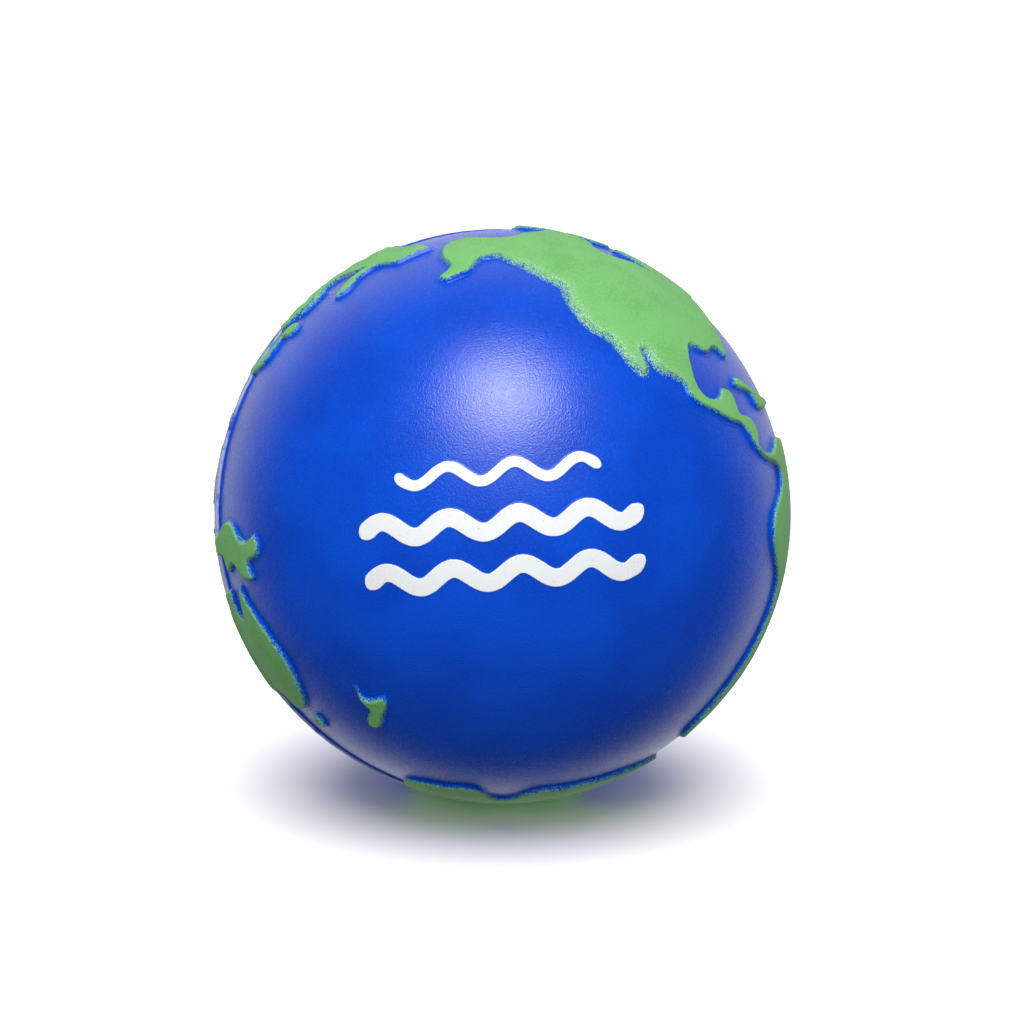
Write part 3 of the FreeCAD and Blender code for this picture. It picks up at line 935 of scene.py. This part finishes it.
ring = ridge_tree.node("ShaderNodeCombineXYZ", {
    "X": round_ball.cosine() * 3, "Y": round_ball.sine() * 3, "Z": 0.0}).outputs[0]
waver = noise(ridge_tree, ring, 0.22, detail=3) - 0.5
height = crest * (ridge_tree.number(given["Height"]) + given["Sunk"])
height = height * (1 + waver * 0.6)
lean = ridge_tree.number(given["Width"]) * side / 2 / given["Sea radius"]
lean = lean + waver * given["Waver"] / given["Sea radius"]
parts = []
for direction, amount in (
        (given["Along"], round_ball.cosine()),
        (given["Across"], round_ball.sine()),
        (given["Ridge normal"], lean)):
    scaled = ridge_tree.vector_math("SCALE", direction)
    ridge_tree.feed(scaled.inputs["Scale"], amount)
    parts.append(scaled.outputs[0])
total = ridge_tree.vector_math("ADD", parts[0], parts[1]).outputs[0]
total = ridge_tree.vector_math("ADD", total, parts[2]).outputs[0]
total = ridge_tree.vector_math("NORMALIZE", total).outputs[0]
radius = ridge_tree.number(given["Sea radius"]) - given["Sunk"] + height
radius = radius + mould_step(ridge_tree, given, total)
crested = stored(ridge_tree, grid.outputs["Mesh"], "crest", crest)
wrapped = ridge_tree.node("GeometryNodeSetPosition", {
    "Geometry": crested,
    "Position": on_sphere(ridge_tree, total, given["Centre"], radius)})
closed = ridge_tree.node("GeometryNodeMergeByDistance", {
    "Geometry": wrapped.outputs["Geometry"], "Distance": 0.0005 * MM})
end_tree(ridge_tree, closed.outputs["Geometry"], given["Material"])

ridge = object_of(bpy.data.meshes.new("parting_bead"))
shaped(ridge, ridge_tree, Centre=CENTRE, Sea_radius=SEA_RADIUS,
       Ridge_normal=ridge_normal, Along=ridge_along, Across=ridge_across,
       Width=RIDGE_WIDTH, Height=RIDGE_HEIGHT, Sunk=SUNK, Waver=0.08 * MM,
       Mould_slip=MOULD_SLIP, Material=ridge_material)
shell = bmesh.new()
shell.from_mesh(ridge.data)
open_edges = sum(not e.is_manifold for e in shell.edges)
volume = shell.calc_volume(signed=True)
shell.free()
if volume < 0:
    ridge.data.flip_normals()
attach(ridge, "root")
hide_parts("parting_ridge")
print(f"{ridge.name}: {len(ridge.data.polygons)} faces, {open_edges} open edges, "
      f"{volume * 1e9:.1f} cubic mm")

# %% [markdown]
# ## Floor and light
# The ball stands on a plain white sweep under one large soft light, high and in
# front, which makes the broad sheen on its upper face. The white surroundings
# give the pale rims and fill the shadow a little.

# %% Lay the floor and hang the lights
floor_mesh = bpy.data.meshes.new("floor")
FLOOR_HALF = 8.0
corners = [(-1, -1), (1, -1), (1, 1), (-1, 1)]
floor_mesh.from_pydata([(x * FLOOR_HALF, y * FLOOR_HALF, FLOOR_Z) for x, y in corners],
                       [], [(0, 1, 2, 3)])
floor = object_of(floor_mesh)
floor_material, tree = new_material("white_sweep")
place = tree.node("ShaderNodeTexCoord").outputs["Object"]
tint = noise(tree, place, 0.2, detail=1)
finish_surface(tree, {"Base Color": tree.mix(tint, (0.90, 0.90, 0.90, 1),
                                             (0.92, 0.92, 0.92, 1)),
                      "Roughness": 0.9})
floor_mesh.materials.append(floor_material)
floor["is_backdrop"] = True

WALL_GLOW, ROOM_GLOW, ROOM_SHEEN = 0.85, 0.22, 0.02
world = bpy.data.worlds.new("white_sweep_room")
bpy.context.scene.world = world
world.use_nodes = True
tree = Tree(world.node_tree)
heading = tree.node("ShaderNodeTexCoord").outputs["Generated"]
heading = tree.node("ShaderNodeSeparateXYZ", {"Vector": heading}).outputs
behind = tree.number(heading["Y"]).step(0.35, 0.75)
rays = tree.node("ShaderNodeLightPath").outputs
room = ROOM_GLOW + tree.number(rays["Is Glossy Ray"]) * (ROOM_SHEEN - ROOM_GLOW)
glow = room + behind * (WALL_GLOW - room)
glow = glow.most(tree.number(rays["Is Camera Ray"]) * 1.05)
background = world.node_tree.nodes["Background"]
background.inputs["Color"].default_value = (1, 1, 1, 1)
tree.feed(background.inputs["Strength"], glow)


def aimed(name, lamp, direction, distance, lit):
    """A light that looks at the ball and lights only the objects in lit."""
    light = bpy.data.objects.new(name, lamp)
    bpy.context.scene.collection.objects.link(light)
    back = Vector(direction).normalized()
    light.location = CENTRE + back * distance
    light.rotation_euler = back.to_track_quat("Z", "Y").to_euler()
    reached = bpy.data.collections.new("lit_by_" + name)
    for thing in lit:
        reached.objects.link(thing)
    light.light_linking.receiver_collection = reached
    return light


ball_pieces = raised_pieces + [sea, core, ridge]
above = bpy.data.lights.new("overhead", "SUN")
above.energy, above.angle = 4.5, math.radians(75)
aimed("overhead", above, rising(84), 1.0, [floor])
fill = bpy.data.lights.new("floor_fill", "SUN")
fill.energy, fill.angle = 0.8, math.radians(40)
aimed("floor_fill", fill, rising(30), 1.0, [floor])
front = bpy.data.lights.new("front", "SUN")
front.energy, front.angle = 3.1, math.radians(50)
aimed("front", front, rising(46), 1.0, ball_pieces).visible_glossy = False
key = bpy.data.lights.new("key", "AREA")
key.shape, key.size, key.energy = "DISK", 0.34, 4.6
aimed("key", key, rising(61.5, 1.5), 0.6, ball_pieces).visible_diffuse = False
floor.visible_diffuse = floor.visible_glossy = False
bpy.context.scene.view_settings.view_transform = "Standard"

# %% [markdown]
# ## Handing over
# The finished object should fill the CAD model's box and nothing more, so both
# boxes are written down to be compared.

# %% Compare the boxes and finish
visual_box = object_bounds()
for axis, low, high, cad_low, cad_high in zip("XYZ", *visual_box, *cad_box):
    print(f"{axis}: {(high - low) / MM:.2f} mm, CAD {(cad_high - cad_low) / MM:.2f}")
